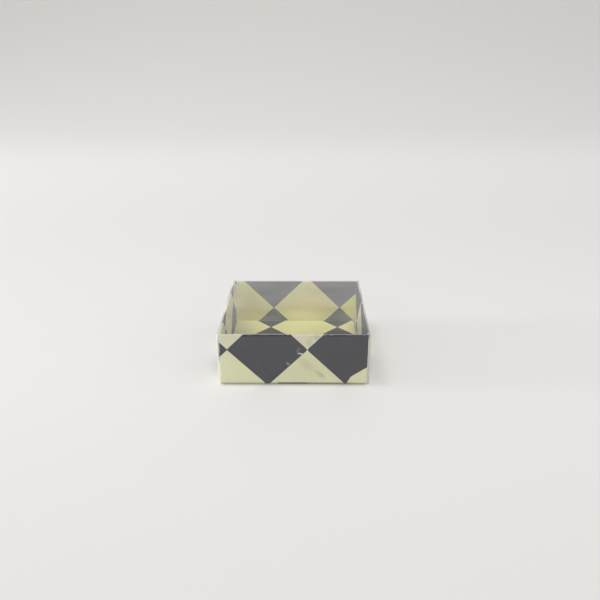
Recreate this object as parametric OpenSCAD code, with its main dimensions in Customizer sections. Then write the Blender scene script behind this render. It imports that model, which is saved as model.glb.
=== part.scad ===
// A shallow square gift tray, folded from one sheet printed with dark harlequin
// squares, under a clear film lid as deep as the tray.
// The origin is at the middle of the underside, with +Z up and the front at -Y.

/* [Tray] */
// Outer side of the square tray
side = 85; // [70:1:110]
// Height of the tray from the table to the rim
tray_h = 31.7; // [24:0.1:40]
// Thickness of the printed sheet
sheet_t = 0.25; // [0.2:0.01:0.4]
// Gap between the two sheets of a doubled wall
wall_gap = 0.4; // [0.3:0.05:2]
// Flat strip along the rim between its two folds
rim_flat = 0.15; // [0.1:0.01:0.2]
// Inside radius of the folds round the base and of the corners
crease_r = 0.3; // [0.1:0.05:0.6]
// Height above the table of the floor flap's back edge, which curls up
flap_back_z = 2.5; // [1.2:0.1:5]
// Slot beside the left and back edges of the floor flap
flap_gap = 0.3; // [0.2:0.05:0.8]
// Slot beside the right edge of the floor flap, where the flap falls short
flap_short = 1.2; // [0.2:0.05:2]
// Slit between two inner walls at a corner
seam_gap = 0.25; // [0.1:0.05:0.4]
// Gap between the base and the feet of the inner walls
foot_gap = 0.2; // [0.1:0.05:0.4]

/* [Print] */
// Distance between the middles of neighbouring dark squares
check_pitch = 45.8; // [36:0.1:60]
// Width of the neck where two dark squares meet at a corner
neck_w = 0.5; // [0.2:0.1:1]
// Middle of the first dark square along X, on the flat sheet
check_x = -15.1; // [-22:0.1:22]
// Middle of the first dark square along Y, on the flat sheet
check_y = -64.3; // [-80:0.1:-50]
// Depth of the ink in the sheet
ink_t = 0.08; // [0.05:0.01:0.12]
// How far the print moves on over the rim, from an outer wall's top to its inner wall's
rim_run = 2.7; // [0.5:0.1:4]
// How far the print on the floor flap lies to the left
floor_slip_x = 1.8; // [0:0.1:4]
// How far the print on the floor flap lies to the back
floor_slip_y = 2; // [0:0.1:4]
// Width of the worn place where two dark squares part on the front
worn_w = 0.6; // [0.4:0.1:2]

/* [Lid] */
// Thickness of the clear film
film_t = 0.3; // [0.2:0.05:0.5]
// Clearance between the tray and the lid on each side
lid_gap = 0.8; // [0.5:0.1:1.5]
// Inside radius of the folds and corners of the lid
lid_crease_r = 0.3; // [0.2:0.05:0.5]
// Height of the lid's cut edge above the table
hem_z = 0.5; // [0.3:0.1:5]

/* [Hidden] */

// Flat stretches in one round fold and along the floor flap's curl
arc_steps = 5;
curl_steps = 12;
// Reach of a cut past what it cuts
overrun = 0.2;
// Thickness of a doubled wall, over both sheets
wall_t = 2 * sheet_t + wall_gap;
// Outer radius of a fold round the base or a corner, and of a fold along the rim
fold_r = sheet_t + crease_r;
rim_r = (wall_t - rim_flat) / 2;
// Height of the floor flap at its fold, where it lies low over the base
flap_front_z = 2 * sheet_t + foot_gap;
// From the middle to the outer and to the inner face of a doubled wall
outer_half = side / 2;
inner_half = outer_half - wall_t;
// From the middle to the outer face of the lid, its fold radius and its top
lid_half = outer_half + lid_gap + film_t;
lid_r = film_t + lid_crease_r;
lid_top = tray_h + film_t;
// Half of a dark square's diagonal, with half a neck added
check_half = check_pitch / 2 + neck_w / 2;
// How far the middle of a round fold lies inside each of its two faces
fold_dip = fold_r * (1 - cos(45));
rim_dip = rim_r * (1 - cos(45));
// How much closer than on the flat sheet the print's lines lie across the rim
rim_squeeze = (wall_t - 2 * rim_dip) / (rim_run + 2 * rim_dip);
// Distance along the sheet from the base's edge to the start of each panel's print
outer_start = -2 * fold_dip;
rim_start = outer_start + tray_h - rim_dip - rim_dip / rim_squeeze;
inner_start = outer_start + tray_h + rim_run;
floor_start = inner_start + tray_h - flap_front_z;
// Dark squares to try on each side of the first one
lattice_n = ceil((3 * outer_half + 2 * tray_h + wall_t) / check_pitch) + 1;
// The dark square at the front right corner ends short along this bent line,
// given along the wall and up it, as shares of the tray's side
bent_edge_shares = [[0.357, -0.05], [0.357, 0], [0.39, 0.058], [0.5, 0.131], [0.55, 0.131], [0.55, -0.05]];

// Points of a round stretch about a centre
function arc(centre, r, from, to) =
    [for (i = [0:arc_steps]) let (a = from + (to - from) * i / arc_steps) centre + r * [cos(a), sin(a)]];

// Outline of a rectangle with its low and high corners rounded, taken in by inset
function round_box(half, low, high, low_r, high_r, inset) = concat(
    arc([-half + low_r, low + low_r], low_r - inset, 180, 270),
    arc([half - low_r, low + low_r], low_r - inset, 270, 360),
    arc([half - high_r, high - high_r], high_r - inset, 0, 90),
    arc([-half + high_r, high - high_r], high_r - inset, 90, 180));

// Side view of the room between the inner walls, widened by grow into the sheet
function inside_view(grow) =
    let (reach = inner_half + rim_r, bend_z = tray_h - rim_r, sky = tray_h + overrun)
    concat(
        [[-inner_half - grow, 0], [inner_half + grow, 0]],
        arc([reach, bend_z], rim_r - grow, 180, 90),
        [[reach, sky], [-reach, sky]],
        arc([-reach, bend_z], rim_r - grow, 90, 0));

// View from the right of the room above the floor flap, which rises ever faster
// to its back edge, sunk by grow into the sheet
function above_flap(grow) =
    let (edge = outer_half + overrun, sky = tray_h + 2 * overrun)
    concat(
        [[edge, sky], [-edge, sky], [-edge, flap_front_z - grow]],
        [for (i = [0:curl_steps]) let (share = i / curl_steps)
            [inner_half * (2 * share - 1),
                flap_front_z - grow + (flap_back_z - flap_front_z) * pow(share, 3)]],
        [[edge, flap_back_z - grow]]);

// Side view of the lid, taken in by inset and open below by drop
function lid_view(inset, drop) = concat(
    [[-lid_half + inset, hem_z - drop], [lid_half - inset, hem_z - drop]],
    arc([lid_half - lid_r, lid_top - lid_r], lid_r - inset, 0, 90),
    arc([-lid_half + lid_r, lid_top - lid_r], lid_r - inset, 90, 180));

// Draws a view from the right through the box from left to right
module through_x(half) {
    rotate([90, 0, 90])
        linear_extrude(height = 2 * half + 2 * overrun, center = true)
            children();
}

// Draws a side view right through the box from front to back
module through_y(half) {
    rotate([90, 0, 0])
        linear_extrude(height = 2 * half + 2 * overrun, center = true)
            children();
}

// Keeps what has the same side view along X and along Y
module both_ways(half) {
    intersection() {
        through_y(half) children();
        rotate([0, 0, 90])
            through_y(half) children();
    }
}

// The tray filled solid to its outer faces, taken in by inset
module outer_block(inset) {
    intersection() {
        both_ways(outer_half)
            polygon(round_box(outer_half, 0, tray_h, fold_r, rim_r, inset));
        translate([0, 0, -overrun])
            linear_extrude(height = tray_h + 2 * overrun)
                polygon(round_box(outer_half, -outer_half, outer_half, fold_r, fold_r, inset));
    }
}

// The tray with thick walls and floor, its faces taken in by inset
module thick_tray(inset) {
    difference() {
        outer_block(inset);
        intersection() {
            both_ways(outer_half)
                polygon(inside_view(inset));
            through_x(outer_half)
                polygon(above_flap(inset));
        }
    }
}

// Feet of the left, right and back inner walls, down beside the floor flap
module wall_feet() {
    for (k = [1:3])
        rotate([0, 0, 90 * k])
            translate([-inner_half - sheet_t, -inner_half - sheet_t, sheet_t + foot_gap])
                cube([2 * (inner_half + sheet_t), sheet_t, flap_back_z - sheet_t - foot_gap]);
}

// Slits down the four inner corners, where one inner wall ends against the next,
// from just under the rim's fold to the feet
module corner_slits() {
    near = inner_half * sqrt(2) - overrun;
    far = (inner_half + sheet_t) * sqrt(2) + overrun;
    low = sheet_t + foot_gap / 2;
    for (k = [0:3])
        rotate([0, 0, 90 * k + 45])
            translate([near, -seam_gap / 2, low])
                cube([far - near, seam_gap, tray_h - wall_t - low]);
}

// Slots beside the right, back and left edges of the floor flap, which hangs on the front wall
module flap_slots() {
    slots = [flap_short, flap_gap, flap_gap];
    low = sheet_t + foot_gap / 2;
    for (k = [1:3])
        rotate([0, 0, 90 * k])
            translate([-inner_half, -inner_half, low])
                cube([2 * inner_half, slots[k - 1], flap_back_z + overrun - low]);
}

// The whole folded sheet: base, outer walls, rim folds, inner walls and floor flap
module folded_sheet() {
    difference() {
        union() {
            difference() {
                thick_tray(0);
                thick_tray(sheet_t);
            }
            wall_feet();
        }
        corner_slits();
        flap_slots();
    }
}

// Middles of the dark squares as side k's wall sees them:
// first along the wall, then out along the sheet from the base's edge
function check_middles(k) =
    [for (i = [-lattice_n:lattice_n], j = [-lattice_n:lattice_n])
        let (x = check_x + i * check_pitch, y = check_y + j * check_pitch)
        [x * cos(90 * k) + y * sin(90 * k), x * sin(90 * k) - y * cos(90 * k) - outer_half]];

// Dark squares on one panel of side k: start is the panel's place along the sheet,
// deep its depth, and squeeze draws the lines across it closer together
module dark_squares(k, start, deep, squeeze = 1) {
    rise = check_half * squeeze;
    for (middle = check_middles(k)) {
        c = [middle.x, (middle.y - start) * squeeze];
        if (abs(c.x) < outer_half + check_half && c.y > -rise && c.y < deep + rise)
            polygon([c - [check_half, 0], c - [0, rise], c + [check_half, 0], c + [0, rise]]);
    }
}

// Keeps the part of a field that belongs to the front side's panel:
// section is the panel's room in side view, plan its room seen from above
module panel_room(section, plan) {
    intersection() {
        children();
        through_x(outer_half)
            polygon(section);
        translate([0, 0, -overrun])
            linear_extrude(height = tray_h + 2 * overrun)
                polygon(plan);
    }
}

// Dark fields on the outer face of side k's wall
module outer_fields(k) {
    mid = wall_t / 2;
    core = outer_half - mid;
    edge = outer_half + overrun;
    panel_room(
        [[-edge, -overrun], [-core, mid], [-core, tray_h - mid], [-edge, tray_h + overrun]],
        [[-edge, -edge], [edge, -edge], [core, -core], [-core, -core]])
        translate([0, -core, 0])
            rotate([90, 0, 0])
                linear_extrude(height = mid + overrun)
                    difference() {
                        dark_squares(k, outer_start, tray_h);
                        if (k == 0) front_wear();
                    }
}

// Bare places in the front wall's print: a bent edge and a worn neck
module front_wear() {
    polygon(side * bent_edge_shares);
    translate([check_x + check_pitch / 2, -check_y - outer_half - outer_start])
        square([worn_w, worn_w + 2 * neck_w], center = true);
}

// Dark fields on the rim of side k's wall, lapping a little over those beside them
module rim_fields(k) {
    mid = wall_t / 2;
    edge = outer_half + overrun;
    lip = inner_half - overrun;
    sky = tray_h + overrun - ink_t;
    panel_room(
        [[-edge, sky], [-outer_half + mid, tray_h - mid - ink_t], [-lip, sky]],
        [[-edge, -edge], [edge, -edge], [lip, -lip], [-lip, -lip]])
        translate([0, -outer_half, tray_h - wall_t])
            linear_extrude(height = wall_t + overrun)
                dark_squares(k, rim_start, wall_t, rim_squeeze);
}

// Dark fields on the inner face of side k's wall, down past the floor flap
module inner_fields(k) {
    mid = wall_t / 2;
    lip = inner_half - overrun;
    deep = inner_half + mid;
    foot = k == 0 ? flap_front_z - 2 * ink_t : sheet_t + foot_gap / 2;
    shy = inner_half - ink_t;
    panel_room(
        [[-deep, foot], [-lip, foot], [-lip, tray_h + overrun], [-deep, tray_h - mid]],
        [[-deep, -deep], [deep, -deep], [shy, -shy], [shy, -lip], [-shy, -lip], [-shy, -shy]])
        translate([0, -lip, tray_h])
            rotate([90, 0, 0])
                linear_extrude(height = mid + overrun)
                    mirror([0, 1])
                        dark_squares(k, inner_start, tray_h);
}

// Dark fields on the floor flap, which carries on from the front inner wall
module floor_fields() {
    shy = inner_half - ink_t;
    front = inner_half + 2 * ink_t;
    intersection() {
        translate([0, 0, flap_front_z - 2 * ink_t])
            linear_extrude(height = flap_back_z)
                intersection() {
                    translate([-shy, -front])
                        square([2 * shy, front + shy]);
                    translate([-floor_slip_x, -inner_half + floor_slip_y])
                        dark_squares(0, floor_start, 2 * inner_half);
                }
        difference() {
            through_x(outer_half)
                polygon(above_flap(2 * ink_t));
            through_x(outer_half)
                polygon(above_flap(-2 * ink_t));
        }
    }
}

// Dark fields on the underside of the base, lapping a little over the walls' fields
module under_fields() {
    edge = outer_half + overrun + ink_t;
    tuck = outer_half - sheet_t + ink_t;
    intersection() {
        both_ways(outer_half)
            polygon([[-edge, -overrun], [edge, -overrun], [tuck, sheet_t], [-tuck, sheet_t]]);
        translate([0, outer_half, -overrun])
            linear_extrude(height = sheet_t + overrun)
                mirror([0, 1])
                    dark_squares(0, -side, side);
    }
}

// Every dark field, reaching past the sheet's face and down to the depth of the ink
module dark_fields() {
    difference() {
        union() {
            for (k = [0:3])
                rotate([0, 0, 90 * k]) {
                    outer_fields(k);
                    rim_fields(k);
                    inner_fields(k);
                }
            floor_fields();
            under_fields();
        }
        thick_tray(ink_t);
    }
}

// The dark harlequin squares, flush in the face of the sheet
module harlequin_print() {
    color([0.2, 0.2, 0.22])
        intersection() {
            folded_sheet();
            dark_fields();
        }
}

// The folded tray, with shallow beds where the ink lies
module tray() {
    color([0.84, 0.84, 0.66])
        difference() {
            folded_sheet();
            dark_fields();
        }
}

// Clear film cap with round folds and corners, resting on the rim
module clear_lid() {
    color([0.9, 0.93, 0.95, 0.3])
        difference() {
            lid_block(0, 0);
            lid_block(film_t, overrun);
        }
}

// The lid filled solid, taken in by inset and let down by drop
module lid_block(inset, drop) {
    intersection() {
        both_ways(lid_half)
            polygon(lid_view(inset, drop));
        translate([0, 0, hem_z - drop])
            linear_extrude(height = lid_top - hem_z + drop + overrun)
                polygon(round_box(lid_half, -lid_half, lid_half, lid_r, lid_r, inset));
    }
}

tray();
harlequin_print();
clear_lid();
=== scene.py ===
"""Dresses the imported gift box: a folded paper tray, its dark harlequin print and a clear film lid.

Lengths are in metres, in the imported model's own frame: +Z up, +X right, the front at -Y.
"""
import math

import bpy
from mathutils import Matrix, Vector


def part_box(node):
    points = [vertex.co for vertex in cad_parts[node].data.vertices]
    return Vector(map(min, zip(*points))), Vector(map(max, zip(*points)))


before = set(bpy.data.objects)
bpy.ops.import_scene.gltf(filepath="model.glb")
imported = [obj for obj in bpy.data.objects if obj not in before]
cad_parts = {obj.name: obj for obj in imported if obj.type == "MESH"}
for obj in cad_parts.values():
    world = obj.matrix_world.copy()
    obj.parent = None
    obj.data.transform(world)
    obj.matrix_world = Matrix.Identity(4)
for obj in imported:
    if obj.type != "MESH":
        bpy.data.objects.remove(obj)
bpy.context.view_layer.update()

MM = 0.001

# Places on the box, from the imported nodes
_, TRAY_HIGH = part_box("tray")
LID_LOW, LID_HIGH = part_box("clear_lid")
OUTER = TRAY_HIGH.x
FRONT = -OUTER
RIM = TRAY_HIGH.z
LID_OUTER = LID_HIGH.x
LID_TOP = LID_HIGH.z
# Inner faces of the tray's doubled walls
INNER = OUTER - 0.9 * MM

# Camera, fitted to the corners of the box in the photograph
CAMERA_AT = Vector((5.963 * MM, -365.278 * MM, 186.512 * MM))
CAMERA_DOWN = math.radians(22.495)
CAMERA_TURN = math.radians(0.407)
CAMERA_ROLL = math.radians(-0.068)
SENSOR_MM = 36
LENS_MM = 38.06
CLIP_NEAR = 0.01
CLIP_FAR = 50

# Floor that curves up far behind the box
FLOOR_HALF_WIDTH = 4.0
FLOOR_FRONT = -4.0
SWEEP_START = 1.0
SWEEP_RADIUS = 2.2
SWEEP_ANGLE = math.radians(35)
SWEEP_STEPS = 16

# Round lamps that face the box: place, size, power, and whether they show in mirror images.
# The two on the left don't, so that they leave no glare on the film.
LAMPS = {
    "front_light": (Vector((0.1, -1.2, 2.1)), 1.0, 18.5, True),
    "over_light": (Vector((-0.75, 0.0, 2.1)), 0.7, 8.0, False),
    "low_light": (Vector((-1.5, -0.01, 0.24)), 0.3, 9.0, False),
}
# Sky: its strength low down and high up, and the heights between which that changes
SKY_TONE = (1.0, 0.99, 0.975)
SKY_LOW = 0.99
SKY_HIGH = 0.44
SKY_BAND = (0.36, 0.46)

# Below, a band is a pair of values: a mask rises from 0 at its first to 1 at its second, which
# may be the smaller. A noise is its scale, detail and roughness. A finish is its roughness and
# specular level, and the strength and height of its bump. Colours are linear.

# Floor: its tone at the front, the tones behind it with the band in which each comes in, a
# faint cloud, and a painted shadow at the foot of the front wall. The tones are painted light
# and shade: the floor is brightest around the box, and darker before it and far behind
FLOOR_FRONT_SHADE = (0.765, 0.74, 0.735)
FLOOR_FAR_SHADE = (0.82, 0.81, 0.79)
FLOOR_LIGHT_AND_SHADE = [
    ((-0.25, 0.0), (0.835, 0.82, 0.815)),
    ((0.2, 0.75), (0.94, 0.925, 0.92)),
    ((1.0, 2.9), FLOOR_FAR_SHADE),
]
FLOOR_CLOUD = (3.0, 2.0, 0.5)
FLOOR_CLOUD_SHARE = 0.06
FLOOR_PAINTED_SHADOW = (0.52, 0.50, 0.48)
SHADOW_ALONG = ((-LID_OUTER - 3.0 * MM, -LID_OUTER + 1.0 * MM), (0.0, FRONT))
SHADOW_ACROSS = (OUTER + 1.0 * MM, OUTER - 3.0 * MM)
FLOOR_GRAIN = (700.0, 2.0, 0.5)
FLOOR_FINISH = (0.75, 0.15, 0.1, 0.05 * MM)

# Parts of the sheet: bands of the distance from the axis, of the height and of the y
INNER_SIDE = (INNER + 0.3 * MM, INNER + 0.1 * MM)
WITHIN_WALLS = (INNER - 0.2 * MM, INNER - 0.6 * MM)
OUTER_FACE = (INNER, OUTER)
ABOVE_BASE = (0.3 * MM, 0.5 * MM)
INNER_FACE = (INNER - 0.4 * MM, INNER - 0.1 * MM)
FRONT_WALL = (FRONT + 1.0 * MM, FRONT + 0.5 * MM)
FRONT_FACE = (FRONT + 0.6 * MM, FRONT + 0.3 * MM)

# Wear along the folds, and the noise that breaks it up
RIM_FOLD = (RIM - 0.8 * MM, RIM - 0.1 * MM)
BASE_FOLD = (0.7 * MM, 0.0)
CORNER_FOLD = (OUTER - 1.0 * MM, OUTER - 0.2 * MM)
FOLD_NOISE = (700.0, 4.0, 0.65)
FOLD_BREAKS = (0.42, 0.68)

# A turn that keeps the grid of the noise off the planes of the walls
GRAIN_TURN = (0.5, 0.4, 0.3)


def marks_at(y, rows):
    """Marks whose middles share one y, from rows whose x, z and radii are in millimetres."""
    return [
        ((x * MM, y, z * MM), tuple(radius * MM for radius in radii), turn, colour, strength)
        for (x, z), radii, turn, colour, strength in rows
    ]


# Paper: its tone outside, inside, on the inner side walls, in clouds on the inner back wall, and
# high on the front. The tones inside and on the inner side walls are painted light: the paper is
# made yellower and brighter there than outside, as bounce light
PAPER = (0.758, 0.755, 0.495)
PAPER_INSIDE_LIT = (0.90, 0.87, 0.37)
PAPER_SIDE_LIT = (0.98, 0.95, 0.70)
PAPER_BACK = (0.83, 0.755, 0.33)
BACK_CLOUD = (45.0, 3.0, 0.5)
BACK_CLOUD_BAND = (0.35, 0.7)
BACK_LEAST = 0.45
PAPER_UPPER = (0.66, 0.62, 0.48)
UPPER_BAND = (20 * MM, 30 * MM)
UPPER_SHARE = 0.6

# Texture of the paper: mottle, fibres and worn folds
PAPER_MOTTLE = (0.60, 0.60, 0.38)
MOTTLE = (320.0, 3.0, 0.5)
MOTTLE_SHARE = 0.12
MOTTLE_RELIEF = 1.5
PAPER_FIBRE = (0.88, 0.88, 0.66)
FIBRES = (1700.0, 3.0, 0.6)
FIBRE_STRETCH = (1.0, 0.35, 0.6)
FIBRE_BAND = (0.35, 0.7)
FIBRE_SHARE = 0.16
PAPER_EDGE = (0.88, 0.87, 0.74)
PAPER_WEAR = 0.7
PAPER_FINISH = (0.78, 0.25, 0.5, 0.04 * MM)

# Painted shadow along the front's lower edge: strong in the middle, and faint towards both ends
BASE_SHADOW = (0.012, 0.011, 0.003)
BASE_SHADOW_HEIGHT = (1.05 * MM, 0.8 * MM)
BASE_SHADOW_MIDDLE = ((-9.6 * MM, -8.8 * MM), (8.8 * MM, 7.8 * MM))
BASE_SHADOW_AROUND = ((-20 * MM, 10 * MM), (40 * MM, 26 * MM))
BASE_SHADOW_AROUND_SHARE = 0.4
BASE_SHADOW_LEAST = 0.22

# Marks in the paper, stains and painted light and shade: x and z, radii, turn about Y, colour and
# strength
MARK_SOFT = 0.9
# Inside: tan and olive stains, and painted light and shade: the pale patch low in the back left
# corner is painted light, and the dark patch high in it is painted shade
INSIDE_STAINS_AND_SHADES = marks_at(INNER, [
    ((8, 6.5), (26, 4, 9), 0.0, (0.98, 0.92, 0.42), 0.6),
    ((12, 14.5), (16, 4, 12), 0.0, (0.95, 0.745, 0.28), 0.65),
    ((-32, 26), (12, 4, 9), 0.0, (0.74, 0.72, 0.12), 0.8),
    ((-30, 15.5), (14, 4, 10), 0.0, (0.60, 0.56, 0.14), 0.8),
    ((-41, 26), (6, 4, 10), 0.0, (0.58, 0.54, 0.16), 0.6),
    ((-41, 6), (7, 4, 11), 0.0, (0.98, 0.92, 0.42), 0.8),
    ((37, 15), (14, 4, 22), 0.0, (0.98, 0.94, 0.17), 0.9),
]) + marks_at(20 * MM, [
    ((-34, 0.0), (18, 26, 8), 0.0, (0.60, 0.57, 0.32), 0.75),
])
# On the front: painted shade and reflection of the film, laid on the paper as grey, beige, olive and
# pale patches, and a small olive tick at the left end of the painted shadow along the base
FRONT_FILM_SHADES = marks_at(FRONT, [
    ((13.5, 29.8), (3.6, 2, 3.0), 0.4, (0.42, 0.43, 0.43), 0.75),
    ((9.0, 27.0), (3.2, 2, 4.6), 0.2, (0.54, 0.51, 0.33), 0.6),
    ((11.6, 26.2), (1.8, 2, 2.4), 0.6, (0.78, 0.77, 0.68), 0.6),
    ((8, 9), (22, 2, 15), 0.0, (0.65, 0.64, 0.41), 0.6),
    ((7.3, 12.6), (8.6, 2, 4.2), 0.72, (0.56, 0.53, 0.32), 0.6),
    ((15.2, 6.2), (5.4, 2, 2.5), 0.72, (0.47, 0.47, 0.31), 0.8),
    ((-2.0, 8.5), (8.0, 2, 5.0), 0.0, (0.70, 0.66, 0.50), 0.6),
    ((25.0, 4.0), (8.0, 2, 4.0), 0.0, (0.66, 0.65, 0.48), 0.4),
    ((-9.2, 1.6), (0.5, 1, 1.8), 0.0, (0.40, 0.40, 0.14), 0.7),
])
RIM_STAINS = marks_at(INNER, [
    ((-41.2, 31.2), (1.9, 1.4, 2.2), 0.0, (0.05, 0.05, 0.04), 0.9),
])

# Ink: its two tones in clouds, pale specks, a warm tone low inside the tray that is painted bounce
# light, a deep one on the floor and just under the rim that is painted shade, and worn folds
INK = (0.029, 0.0285, 0.038)
INK_PALE = (0.043, 0.041, 0.056)
INK_CLOUD = (160.0, 3.0, 0.5)
INK_CLOUD_SHARE = 0.8
INK_SPECK = (0.10, 0.098, 0.10)
SPECKS = (1300.0, 3.0, 0.6)
SPECK_BAND = (0.56, 0.76)
SPECK_SHARE = 0.45
INK_BOUNCE_LIGHT = (0.080, 0.070, 0.022)
INK_BOUNCE_LIGHT_BAND = (20 * MM, 8 * MM)
INK_SHADE = (0.004, 0.004, 0.005)
INK_SHADE_ON_FLOOR = 0.8
INK_SHADE_AT_RIM = 0.7
UNDER_RIM_SHADE = ((RIM - 1.5 * MM, RIM - 1.1 * MM), (RIM - 0.25 * MM, RIM - 0.6 * MM))
INK_WORN = (0.14, 0.14, 0.15)
INK_WEAR = 0.25
INK_GRAIN = (2200.0, 2.0, 0.5)
INK_FINISH = (0.6, 0.2, 0.2, 0.03 * MM)

# Scuffs in the front's left dark field, and what makes them scratchy
SCUFF = (0.66, 0.62, 0.70)
SCUFFS = marks_at(FRONT, [
    ((3.9, 19.6), (2.3, 1.0, 0.75), 0.1, SCUFF, 1.0),
    ((2.6, 22.0), (1.3, 1.0, 2.6), 0.4, SCUFF, 0.18),
    ((-3.3, 13.2), (1.8, 1.0, 0.8), 0.8, SCUFF, 0.4),
])
SCUFF_SOFT = 0.6
SCRATCHES = (900.0, 3.0, 0.5)
SCRATCH_STRETCH = (1.0, 1.0, 3.0)
SCRATCH_TURN = (0.0, 0.9, 0.0)
SCRATCH_BAND = (0.30, 0.55)

# Paler places in the ink at the back end of the left inner wall, and how soft each is
LEFT_STRIP = [
    ((-INNER, 36 * MM, 14 * MM), (3 * MM, 12 * MM, 26 * MM), 0.0, (0.155, 0.142, 0.092), 0.9),
]
LEFT_STRIP_SOFT = 0.6
LEFT_SEAM = [
    ((-INNER, INNER, 10 * MM), (3 * MM, 2.6 * MM, 24 * MM), 0.0, (0.46, 0.43, 0.28), 0.8),
]
LEFT_SEAM_SOFT = 0.8

# Film: a clear sheet with a gentle wave in its gloss
FILM_IOR = 1.46
FILM_TINT = (0.985, 0.988, 0.985)
FILM_GLOSS = (1.0, 1.0, 1.0)
FILM_ROUGHNESS = 0.06
FILM_WAVE = (38.0, 1.0, 0.5)
FILM_BEND = (0.25, 1.5 * MM)
# The colour of its haze, which is paler along the left side as a painted highlight
FILM_HAZE = (0.50, 0.48, 0.48)
FILM_HAZE_LEFT_HIGHLIGHT = (0.93, 0.92, 0.91)
FILM_LEFT = (-LID_OUTER + 1.6 * MM, -LID_OUTER + 0.9 * MM)

# Folds of the film. The one round the top looks wider on the left than on the right.
FILM_RIGHT = (5 * MM, 20 * MM)
FOLD_LEFT = (LID_OUTER - 1.9 * MM, LID_OUTER - 1.5 * MM)
FOLD_RIGHT = (LID_OUTER - 1.3 * MM, LID_OUTER - 0.9 * MM)
FOLD_TOP = (LID_TOP - 0.1 * MM, LID_TOP - 0.02 * MM)
ARRIS_OUT = (LID_OUTER - 0.8 * MM, LID_OUTER - 0.4 * MM)
ARRIS_UP = (LID_TOP - 0.8 * MM, LID_TOP - 0.4 * MM)
FILM_CORNER = (LID_OUTER - 1.3 * MM, LID_OUTER - 0.6 * MM)
HEM = (LID_LOW.z + 0.25 * MM, LID_LOW.z)
# How much of their mirror the arris and the corners lose
ARRIS_DULL = 0.85

# Shares of haze. Along the folds and upright corners it is partly creased film and partly a painted
# stand-in for the reflections along them
FOLD_HAZE = 0.42
FOLD_HAZE_MORE_RIGHT = 0.08
CORNER_HAZE = 0.6
HEM_HAZE = 0.15
EVEN_HAZE = 0.004
SMUDGES = (70.0, 4.0, 0.6)
SMUDGE_BAND = (0.5, 0.8)
SMUDGE_HAZE = 0.02
# Hazy places: middle, radii and share. The last, a dense spot at the front right corner of the top,
# is a painted highlight
FILM_HAZE_AND_GLINT = [
    ((38 * MM, -20 * MM, LID_TOP), (16 * MM, 50 * MM, 2 * MM), 0.10),
    ((-38 * MM, 0.0, LID_TOP), (12 * MM, 60 * MM, 2 * MM), 0.12),
    ((LID_OUTER - 0.6 * MM, 0.6 * MM - LID_OUTER, LID_TOP), (1.2 * MM, 1.2 * MM, 1.2 * MM), 0.9),
]
FILM_SPOT_SOFT = 0.9

# Numbers of a Mix node's two values and its result, whose names its kinds share
MIX_SOCKETS = {"FLOAT": (2, 3, 0), "RGBA": (6, 7, 2)}


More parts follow.
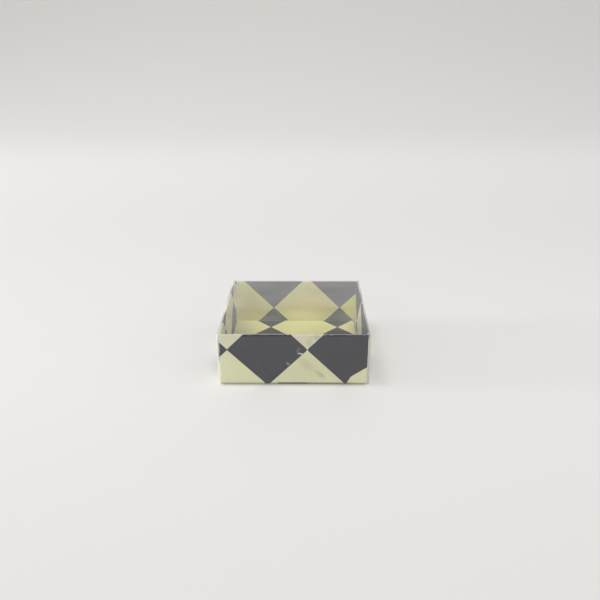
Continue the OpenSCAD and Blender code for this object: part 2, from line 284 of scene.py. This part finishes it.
class Nodes:
    """Makes the nodes of a material or world, and links them as it goes.

    where is a point's place in the named coordinates, and x, y and z are its parts.
    """

    def __init__(self, owner, coordinates="Object"):
        self.owner = owner
        owner.use_nodes = True
        self.tree = owner.node_tree
        self.tree.nodes.clear()
        self.where = self.make("ShaderNodeTexCoord").outputs[coordinates]
        self.x, self.y, self.z = self.make("ShaderNodeSeparateXYZ", {0: self.where}).outputs

    def put(self, socket, value):
        if isinstance(value, bpy.types.NodeSocket):
            self.tree.links.new(value, socket)
        elif isinstance(value, tuple) and len(value) == 3 and len(socket.default_value) == 4:
            socket.default_value = (*value, 1)
        else:
            socket.default_value = value

    def make(self, kind, inputs=None, **settings):
        node = self.tree.nodes.new(kind)
        for key, value in settings.items():
            setattr(node, key, value)
        for key, value in (inputs or {}).items():
            self.put(node.inputs[key], value)
        return node

    def math(self, operation, *values, clamp=False):
        inputs = dict(enumerate(values))
        return self.make("ShaderNodeMath", inputs, operation=operation, use_clamp=clamp).outputs[0]

    def product(self, first, *others):
        for other in others:
            first = self.math("MULTIPLY", first, other)
        return first

    def largest(self, first, *others):
        for other in others:
            first = self.math("MAXIMUM", first, other)
        return first

    def mix(self, share, low, high, kind="RGBA"):
        """Low where share is 0 and high where it is 1: colours, or numbers of kind FLOAT."""
        first, second, result = MIX_SOCKETS[kind]
        inputs = {0: share, first: low, second: high}
        return self.make("ShaderNodeMix", inputs, data_type=kind).outputs[result]

    def tint(self, tone, colour, *shares):
        """The tone with a share of a colour in it, which is the product of the shares."""
        return self.mix(self.product(*shares), tone, colour)

    def step(self, value, low, high, start=0.0, end=1.0):
        """Runs smoothly from start at low to end at high, also where low is the larger."""
        if low > high:
            low, high, start, end = high, low, end, start
        inputs = {"Value": value, "From Min": low, "From Max": high, "To Min": start, "To Max": end}
        return self.make("ShaderNodeMapRange", inputs, interpolation_type="SMOOTHSTEP").outputs[0]

    def between(self, value, rise, fall):
        """1 between two bands: it rises in the one and falls in the other."""
        return self.product(self.step(value, *rise), self.step(value, *fall))

    def noise(self, place, scale, detail, roughness):
        inputs = {"Vector": place, "Scale": scale, "Detail": detail, "Roughness": roughness}
        return self.make("ShaderNodeTexNoise", inputs).outputs["Fac"]

    def turned(self, turn, stretch=(1.0, 1.0, 1.0)):
        """A point's place in turned and stretched coordinates."""
        inputs = {"Vector": self.where, "Rotation": turn, "Scale": stretch}
        return self.make("ShaderNodeMapping", inputs).outputs[0]

    def spot(self, centre, radii, turn, soft):
        """1 in the middle of an ellipsoid turned about Y and 0 outside it, with a soft rim."""
        inputs = {
            "Vector": self.where,
            "Location": centre,
            "Rotation": (0.0, turn, 0.0),
            "Scale": radii,
        }
        local = self.make("ShaderNodeMapping", inputs, vector_type="TEXTURE").outputs[0]
        far = self.make("ShaderNodeVectorMath", {0: local}, operation="LENGTH").outputs["Value"]
        return self.step(far, 1.0, 1.0 - soft)

    def marked(self, tone, marks, mask, soft):
        """The tone with marks in it where the mask is 1."""
        for centre, radii, turn, colour, strength in marks:
            tone = self.tint(tone, colour, self.spot(centre, radii, turn, soft), mask, strength)
        return tone

    def bump(self, relief, strength, height):
        inputs = {"Height": relief, "Strength": strength, "Distance": height}
        return self.make("ShaderNodeBump", inputs).outputs[0]

    def matt(self, tone, relief, roughness, specular, strength, height):
        """A rough surface of one tone, with a bump from the relief."""
        inputs = {
            "Base Color": tone,
            "Roughness": roughness,
            "Specular IOR Level": specular,
            "Normal": self.bump(relief, strength, height),
        }
        return self.make("ShaderNodeBsdfPrincipled", inputs).outputs[0]

    def finish(self, shader, output="ShaderNodeOutputMaterial"):
        """Shows the shader as the surface, and gives back what the nodes belong to."""
        self.make(output, {"Surface": shader})
        return self.owner


def make_camera():
    data = bpy.data.cameras.new("camera")
    data.sensor_width = SENSOR_MM
    data.lens = LENS_MM
    data.clip_start = CLIP_NEAR
    data.clip_end = CLIP_FAR
    camera = bpy.data.objects.new("camera", data)
    turn = Matrix.Rotation(CAMERA_TURN, 4, "Z")
    tilt = Matrix.Rotation(math.pi / 2 - CAMERA_DOWN, 4, "X")
    roll = Matrix.Rotation(CAMERA_ROLL, 4, "Z")
    camera.matrix_world = Matrix.Translation(CAMERA_AT) @ turn @ tilt @ roll
    bpy.context.scene.collection.objects.link(camera)
    bpy.context.scene.camera = camera


def floor_material():
    """A pale floor with painted shade, a little darker before the box and far behind, and a painted
    shadow where it meets the front wall.
    """
    nodes = Nodes(bpy.data.materials.new("floor"))
    back = nodes.math("ADD", nodes.y, nodes.z)
    # Painted light and shade: darker before the box and far behind it, brightest around it
    tone = FLOOR_FRONT_SHADE
    for band, colour in FLOOR_LIGHT_AND_SHADE:
        tone = nodes.mix(nodes.step(back, *band), tone, colour)
    cloud = nodes.noise(nodes.where, *FLOOR_CLOUD)
    tone = nodes.tint(tone, FLOOR_FAR_SHADE, cloud, FLOOR_CLOUD_SHARE)
    # Painted shadow on the floor just before and under the front wall
    along = nodes.between(nodes.y, *SHADOW_ALONG)
    across = nodes.step(nodes.math("ABSOLUTE", nodes.x), *SHADOW_ACROSS)
    tone = nodes.tint(tone, FLOOR_PAINTED_SHADOW, along, across)
    grain = nodes.noise(nodes.where, *FLOOR_GRAIN)
    return nodes.finish(nodes.matt(tone, grain, *FLOOR_FINISH))


def make_stage():
    """A pale floor that curves up behind the box."""
    profile = [(FLOOR_FRONT, 0.0)]
    for i in range(SWEEP_STEPS + 1):
        angle = SWEEP_ANGLE * i / SWEEP_STEPS
        y = SWEEP_START + SWEEP_RADIUS * math.sin(angle)
        z = SWEEP_RADIUS * (1 - math.cos(angle))
        profile.append((y, z))
    points = [(x, y, z) for y, z in profile for x in (-FLOOR_HALF_WIDTH, FLOOR_HALF_WIDTH)]
    faces = [(2 * i, 2 * i + 1, 2 * i + 3, 2 * i + 2) for i in range(len(profile) - 1)]
    mesh = bpy.data.meshes.new("floor")
    mesh.from_pydata(points, [], faces)
    mesh.shade_smooth()
    mesh.materials.append(floor_material())
    floor = bpy.data.objects.new("floor", mesh)
    bpy.context.scene.collection.objects.link(floor)


def make_lamps():
    """Soft lamps, each turned towards the box."""
    for name, (at, size, power, mirrored) in LAMPS.items():
        data = bpy.data.lights.new(name, "AREA")
        data.shape = "DISK"
        data.size = size
        data.energy = power
        lamp = bpy.data.objects.new(name, data)
        lamp.visible_glossy = mirrored
        aim = at.to_track_quat("Z", "Y").to_matrix().to_4x4()
        lamp.matrix_world = Matrix.Translation(at) @ aim
        bpy.context.scene.collection.objects.link(lamp)


def make_sky():
    """A pale sky that is brightest low down all round."""
    world = bpy.data.worlds.new("studio")
    bpy.context.scene.world = world
    nodes = Nodes(world, "Generated")
    strength = nodes.step(nodes.z, *SKY_BAND, SKY_LOW, SKY_HIGH)
    sky = nodes.make("ShaderNodeBackground", {"Color": SKY_TONE, "Strength": strength})
    nodes.finish(sky.outputs[0], "ShaderNodeOutputWorld")


def from_axis(nodes):
    """The larger distance from the two middle planes: the same all along a wall."""
    return nodes.math("MAXIMUM", nodes.math("ABSOLUTE", nodes.x), nodes.math("ABSOLUTE", nodes.y))


def to_corner(nodes):
    """The smaller distance from the two middle planes: the largest at the upright corners."""
    return nodes.math("MINIMUM", nodes.math("ABSOLUTE", nodes.x), nodes.math("ABSOLUTE", nodes.y))


def within(nodes, band):
    """1 inside the tray, as far out as the band goes, and 0 on the underside."""
    return nodes.product(nodes.step(from_axis(nodes), *band), nodes.step(nodes.z, *ABOVE_BASE))


def fold_wear(nodes):
    """1 along the folds at the rim, the base and the upright corners, broken up by noise."""
    rim = nodes.step(nodes.z, *RIM_FOLD)
    corner = nodes.step(to_corner(nodes), *CORNER_FOLD)
    outside = nodes.step(from_axis(nodes), *OUTER_FACE)
    base = nodes.product(nodes.step(nodes.z, *BASE_FOLD), outside)
    rough = nodes.step(nodes.noise(nodes.where, *FOLD_NOISE), *FOLD_BREAKS)
    return nodes.product(nodes.largest(rim, corner, base), rough)


def paper_material():
    """Pale paper with stains, fibres and worn folds, and painted light and shade: yellower inside
    the tray, paler on its inner side walls, patches inside and on the front, and a shadow along the
    front's lower edge.
    """
    nodes = Nodes(bpy.data.materials.new("paper"))
    inside = within(nodes, INNER_SIDE)
    # Painted bounce light: the paper is yellower and brighter inside the tray
    tone = nodes.mix(inside, PAPER, PAPER_INSIDE_LIT)

    back_wall = nodes.step(nodes.y, *INNER_FACE)
    cloud = nodes.step(nodes.noise(nodes.where, *BACK_CLOUD), *BACK_CLOUD_BAND)
    warmth = nodes.math("ADD", cloud, BACK_LEAST)
    warm = nodes.math("MULTIPLY", nodes.product(inside, back_wall), warmth, clamp=True)
    tone = nodes.mix(warm, tone, PAPER_BACK)
    side_walls = nodes.step(nodes.math("ABSOLUTE", nodes.x), *INNER_FACE)
    # Painted light: paler still on the inner side walls
    tone = nodes.tint(tone, PAPER_SIDE_LIT, inside, side_walls)
    upper = nodes.step(nodes.z, *UPPER_BAND)
    front_wall = nodes.step(nodes.y, *FRONT_WALL)
    tone = nodes.tint(tone, PAPER_UPPER, upper, front_wall, UPPER_SHARE)

    # Stains and painted light and shade inside, painted shade and reflection on the front, and a
    # stain at the rim
    tone = nodes.marked(tone, INSIDE_STAINS_AND_SHADES, inside, MARK_SOFT)
    tone = nodes.marked(tone, FRONT_FILM_SHADES, nodes.step(nodes.y, *FRONT_FACE), MARK_SOFT)
    tone = nodes.marked(tone, RIM_STAINS, 1.0, MARK_SOFT)

    mottle = nodes.noise(nodes.where, *MOTTLE)
    tone = nodes.tint(tone, PAPER_MOTTLE, mottle, MOTTLE_SHARE)
    fibres = nodes.noise(nodes.turned(GRAIN_TURN, FIBRE_STRETCH), *FIBRES)
    fibres = nodes.step(fibres, *FIBRE_BAND)
    tone = nodes.tint(tone, PAPER_FIBRE, fibres, FIBRE_SHARE)
    tone = nodes.tint(tone, PAPER_EDGE, fold_wear(nodes), PAPER_WEAR)

    # Painted shadow along the front's lower edge
    edge = nodes.product(nodes.step(nodes.z, *BASE_SHADOW_HEIGHT), front_wall)
    middle = nodes.between(nodes.x, *BASE_SHADOW_MIDDLE)
    around = nodes.product(nodes.between(nodes.x, *BASE_SHADOW_AROUND), BASE_SHADOW_AROUND_SHARE)
    base_shadow = nodes.largest(middle, nodes.math("ADD", around, BASE_SHADOW_LEAST))
    tone = nodes.tint(tone, BASE_SHADOW, edge, base_shadow)

    relief = nodes.math("ADD", fibres, nodes.product(mottle, MOTTLE_RELIEF))
    return nodes.finish(nodes.matt(tone, relief, *PAPER_FINISH))


def ink_material():
    """Flat dark print with specks, worn folds and scuffs, and painted light and shade: bounce light
    makes it warmer low inside the tray, and shade makes it deeper on the floor and just under the
    rim.
    """
    nodes = Nodes(bpy.data.materials.new("ink"))
    inside = within(nodes, INNER_SIDE)
    tone = nodes.tint(INK, INK_PALE, nodes.noise(nodes.where, *INK_CLOUD), INK_CLOUD_SHARE)
    turned = nodes.turned(GRAIN_TURN)
    specks = nodes.step(nodes.noise(turned, *SPECKS), *SPECK_BAND)
    tone = nodes.tint(tone, INK_SPECK, specks, SPECK_SHARE)
    # Painted bounce light: warmer low inside the tray
    tone = nodes.tint(tone, INK_BOUNCE_LIGHT, inside, nodes.step(nodes.z, *INK_BOUNCE_LIGHT_BAND))
    # Painted shade: deeper on the floor of the tray
    tone = nodes.tint(tone, INK_SHADE, within(nodes, WITHIN_WALLS), INK_SHADE_ON_FLOOR)
    tone = nodes.tint(tone, INK_WORN, fold_wear(nodes), INK_WEAR)

    scratches = nodes.noise(nodes.turned(SCRATCH_TURN, SCRATCH_STRETCH), *SCRATCHES)
    tone = nodes.marked(tone, SCUFFS, nodes.step(scratches, *SCRATCH_BAND), SCUFF_SOFT)
    # Painted shade: deeper just under the rim
    under_rim_shade = nodes.between(nodes.z, *UNDER_RIM_SHADE)
    tone = nodes.tint(tone, INK_SHADE, under_rim_shade, INK_SHADE_AT_RIM)
    tone = nodes.marked(tone, LEFT_STRIP, inside, LEFT_STRIP_SOFT)
    tone = nodes.marked(tone, LEFT_SEAM, inside, LEFT_SEAM_SOFT)
    return nodes.finish(nodes.matt(tone, nodes.noise(turned, *INK_GRAIN), *INK_FINISH))


def film_material():
    """Clear film: see-through, a mirror at low angles, and a little hazy at its folds, where the
    haze is partly a painted stand-in for their reflections; painted highlights lie along its left
    side and at its front right corner.
    """
    nodes = Nodes(bpy.data.materials.new("film"))
    backfacing = nodes.make("ShaderNodeNewGeometry").outputs["Backfacing"]
    outward = nodes.math("SUBTRACT", 1.0, backfacing)
    out = from_axis(nodes)
    right = nodes.step(nodes.x, *FILM_RIGHT)
    band = nodes.mix(right, nodes.step(out, *FOLD_LEFT), nodes.step(out, *FOLD_RIGHT), "FLOAT")
    fold = nodes.product(band, nodes.step(nodes.z, *FOLD_TOP))
    arris = nodes.product(nodes.step(out, *ARRIS_OUT), nodes.step(nodes.z, *ARRIS_UP))
    corner = nodes.step(to_corner(nodes), *FILM_CORNER)
    hem = nodes.step(nodes.z, *HEM)
    smudge = nodes.step(nodes.noise(nodes.where, *SMUDGES), *SMUDGE_BAND)

    # The share that is mirrored by the two faces of the film, counted once, on the way in
    bend = nodes.bump(nodes.noise(nodes.where, *FILM_WAVE), *FILM_BEND)
    once = nodes.make("ShaderNodeFresnel", {"IOR": FILM_IOR, "Normal": bend}).outputs[0]
    both = nodes.math("DIVIDE", nodes.product(once, 2.0), nodes.math("ADD", once, 1.0))
    dull = nodes.product(nodes.largest(arris, corner), ARRIS_DULL)
    mirror = nodes.product(both, outward, nodes.math("SUBTRACT", 1.0, dull))

    # Haze at the folds and upright corners: partly creased film, partly a painted stand-in for their
    # reflections
    fold_haze = nodes.math("ADD", nodes.product(right, FOLD_HAZE_MORE_RIGHT), FOLD_HAZE)
    haze = nodes.largest(
        nodes.product(corner, CORNER_HAZE),
        nodes.product(fold, fold_haze),
        nodes.product(hem, HEM_HAZE),
        # Hazy places; the last is a painted highlight at the front right corner
        *(
            nodes.product(nodes.spot(centre, radii, 0.0, FILM_SPOT_SOFT), share)
            for centre, radii, share in FILM_HAZE_AND_GLINT
        ),
    )
    haze = nodes.math("ADD", haze, nodes.product(smudge, SMUDGE_HAZE))
    haze = nodes.product(nodes.math("ADD", haze, EVEN_HAZE), outward)

    # Painted highlight: the haze is paler along the left side
    milky = nodes.mix(nodes.step(nodes.x, *FILM_LEFT), FILM_HAZE, FILM_HAZE_LEFT_HIGHLIGHT)
    milk = nodes.make("ShaderNodeBsdfDiffuse", {"Color": milky}).outputs[0]
    clear = nodes.make("ShaderNodeBsdfTransparent", {"Color": FILM_TINT}).outputs[0]
    inputs = {"Color": FILM_GLOSS, "Roughness": FILM_ROUGHNESS, "Normal": bend}
    gloss = nodes.make("ShaderNodeBsdfGlossy", inputs).outputs[0]
    body = nodes.make("ShaderNodeMixShader", {0: haze, 1: clear, 2: milk}).outputs[0]
    film = nodes.make("ShaderNodeMixShader", {0: mirror, 1: body, 2: gloss}).outputs[0]
    return nodes.finish(film)


def dress(node, material):
    """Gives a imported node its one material."""
    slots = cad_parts[node].data.materials
    slots.clear()
    slots.append(material)


make_camera()
make_stage()
make_lamps()
make_sky()
dress("tray", paper_material())
dress("harlequin_print", ink_material())
dress("clear_lid", film_material())
bpy.context.scene.view_settings.view_transform = "Standard"
